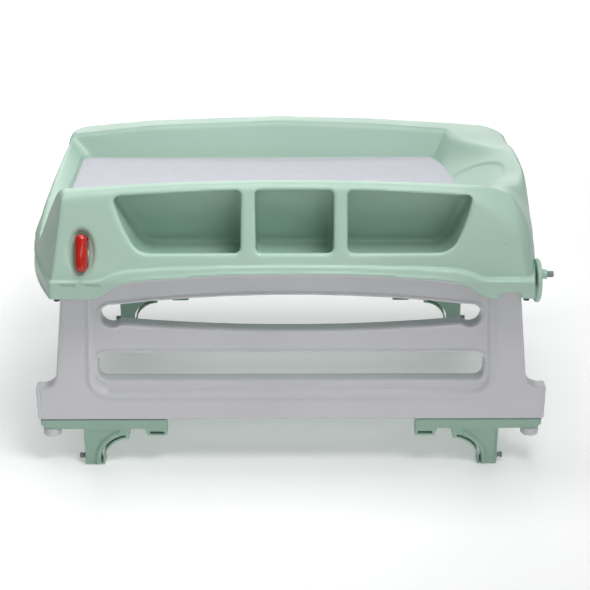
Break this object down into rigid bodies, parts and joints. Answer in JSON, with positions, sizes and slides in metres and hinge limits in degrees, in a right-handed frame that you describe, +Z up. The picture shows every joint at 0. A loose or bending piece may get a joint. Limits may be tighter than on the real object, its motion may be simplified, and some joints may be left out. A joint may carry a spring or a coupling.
{
  "type": "changing table",
  "caption": "Moulded changing tray with storage pockets and padded mat on folding leg frames with sliding rim brackets.",
  "frame": {"origin": "on the standing plane, midway between the two leg frames and under the middle of the rails", "axes": "+X to the head end (right of the pockets' side), -Y towards the side with the pockets, +Z up"},
  "size_m": [0.8021, 0.6301, 0.467],
  "materials": {
    "mint_plastic": "satin moulded plastic, pale mint green",
    "bracket_plastic": "satin moulded plastic, mint green",
    "white_plastic": "satin moulded plastic, cool white",
    "mat_fabric": "quilted wipe-clean fabric, white with a lilac cast",
    "red_plastic": "glossy red",
    "grey_rubber": "dull grey rubber",
    "dark_rubber": "dull dark rubber",
    "steel": "plain steel"
  },
  "bodies": {
    "tray": {"tray_shell": "mint_plastic", "changing_mat": "mat_fabric", "front_hinge_rod": "steel", "back_hinge_rod": "steel", "front_rod_washers": "steel", "back_rod_washers": "steel", "corner_buffers": "dark_rubber", "side_plate": "mint_plastic", "side_peg": "mint_plastic", "side_peg_tip": "grey_rubber", "lever_pivot_pin": "steel", "lever_spring": "steel"},
    "lever": {"release_lever": "red_plastic"},
    "front_frame": {"front_frame_panel": "white_plastic", "front_end_cap_left": "white_plastic", "front_end_cap_right": "white_plastic"},
    "front_left_bracket": {"bracket_front_left": "bracket_plastic", "rim_foot_front_left": "white_plastic", "bumper_pin_front_left": "grey_rubber"},
    "front_right_bracket": {"bracket_front_right": "bracket_plastic", "rim_foot_front_right": "white_plastic", "bumper_pin_front_right": "grey_rubber"},
    "back_frame": {"back_frame_panel": "white_plastic", "back_end_cap_left": "white_plastic", "back_end_cap_right": "white_plastic"},
    "back_left_bracket": {"bracket_back_left": "bracket_plastic", "rim_foot_back_left": "white_plastic", "bumper_pin_back_left": "grey_rubber"},
    "back_right_bracket": {"bracket_back_right": "bracket_plastic", "rim_foot_back_right": "white_plastic", "bumper_pin_back_right": "grey_rubber"}
  },
  "joints": [
    {"name": "front_frame_fold", "type": "hinge", "parent": "tray", "child": "front_frame", "pos_m": [0, -0.258, 0.312], "axis": [1, 0, 0], "range_deg": [0, 90]},
    {"name": "front_left_bracket_slide", "type": "slide", "parent": "front_frame", "child": "front_left_bracket", "axis": [1, 0, 0], "range_m": [0, 0.12]},
    {"name": "front_right_bracket_slide", "type": "slide", "parent": "front_frame", "child": "front_right_bracket", "axis": [-1, 0, 0], "range_m": [0, 0.12]},
    {"name": "back_frame_fold", "type": "hinge", "parent": "tray", "child": "back_frame", "pos_m": [0, 0.258, 0.312], "axis": [-1, 0, 0], "range_deg": [0, 80]},
    {"name": "back_left_bracket_slide", "type": "slide", "parent": "back_frame", "child": "back_left_bracket", "axis": [1, 0, 0], "range_m": [0, 0.12]},
    {"name": "back_right_bracket_slide", "type": "slide", "parent": "back_frame", "child": "back_right_bracket", "axis": [-1, 0, 0], "range_m": [0, 0.12]},
    {"name": "lever_pull", "type": "hinge", "parent": "tray", "child": "lever", "pos_m": [-0.305, -0.28151, 0.38828], "axis": [-1, 0, 0], "range_deg": [0, 14], "stiffness_Nm_per_rad": 0.4}
  ]
}
